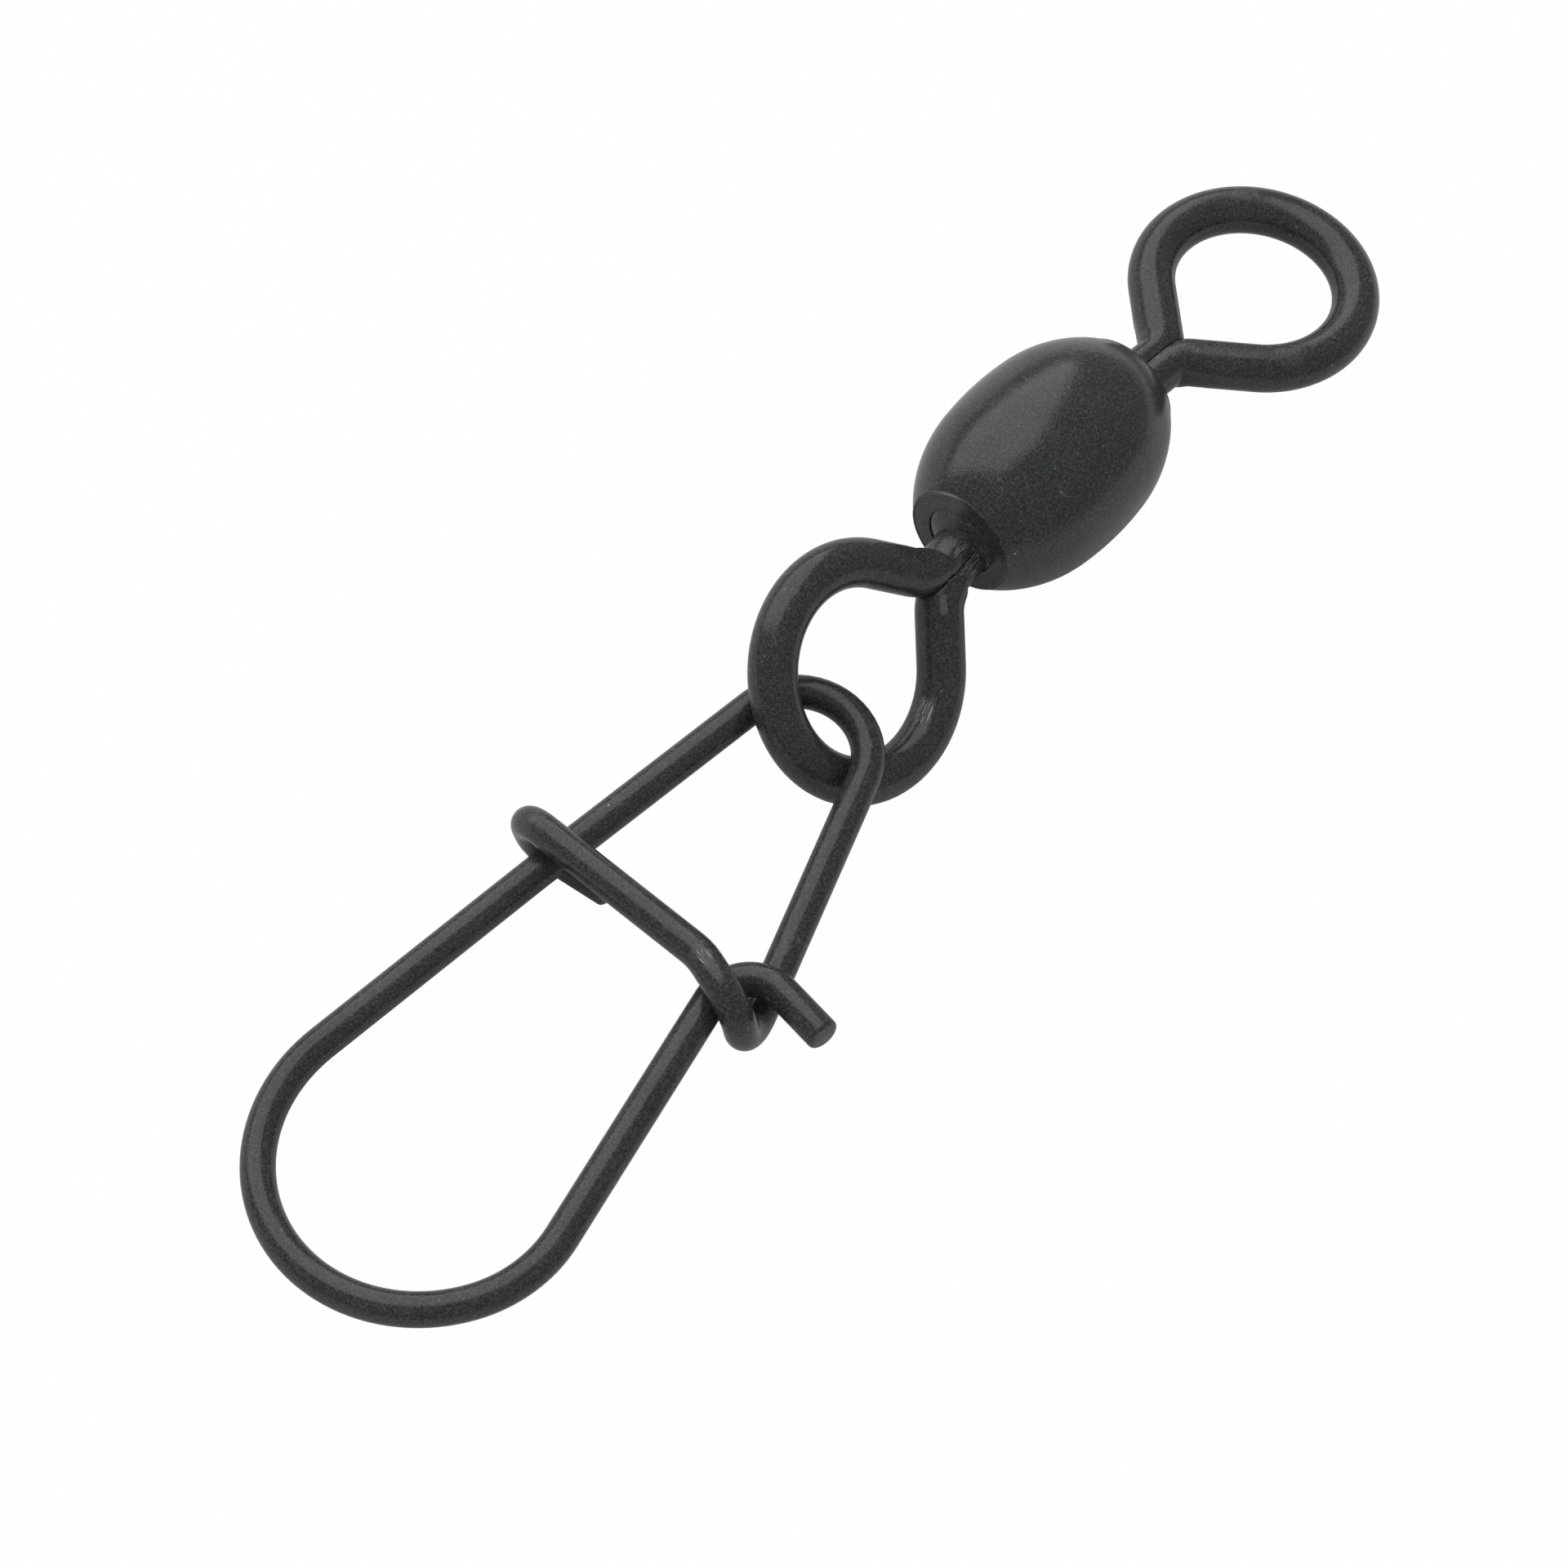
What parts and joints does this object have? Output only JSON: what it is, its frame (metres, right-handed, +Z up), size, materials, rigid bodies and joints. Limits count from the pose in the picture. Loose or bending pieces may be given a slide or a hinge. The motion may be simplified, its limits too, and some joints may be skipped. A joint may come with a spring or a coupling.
{
  "type": "fishing snap swivel",
  "caption": "Barrel swivel with a wire eye turning at each end and a bent-wire snap that hooks over itself to hold a lure.",
  "frame": {"origin": "on the surface the object lies on, under the middle of its bounding box", "axes": "+Z up from the surface, +X along the swivel from the snap towards the line eye, +Y to the keeper's side of the snap"},
  "size_m": [0.041, 0.0098, 0.0053],
  "materials": {
    "barrel_metal": "satin black plating over brass",
    "eye_wire": "satin black plating over drawn wire",
    "snap_steel": "satin black plating over spring steel wire"
  },
  "bodies": {
    "snap": {"snap_wire": "snap_steel"},
    "snap_end_eye": {"snap_eye": "eye_wire"},
    "barrel": {"swivel_barrel": "barrel_metal"},
    "line_end_eye": {"line_eye": "eye_wire"}
  },
  "joints": [
    {"name": "link_swing", "type": "hinge", "parent": "snap", "child": "snap_end_eye", "pos_m": [-0.00203, 0.00124, 0.00248], "axis": [0, 0, 1], "range_deg": [-90, 35]},
    {"name": "snap_end_spin", "type": "hinge", "parent": "snap_end_eye", "child": "barrel", "pos_m": [0.0087, 0.00178, 0.00265], "axis": [0.9996, 0, -0.0279], "continuous": true},
    {"name": "line_end_spin", "type": "hinge", "parent": "barrel", "child": "line_end_eye", "pos_m": [0.0087, 0.00178, 0.00265], "axis": [0.9996, 0, -0.0279], "continuous": true}
  ]
}
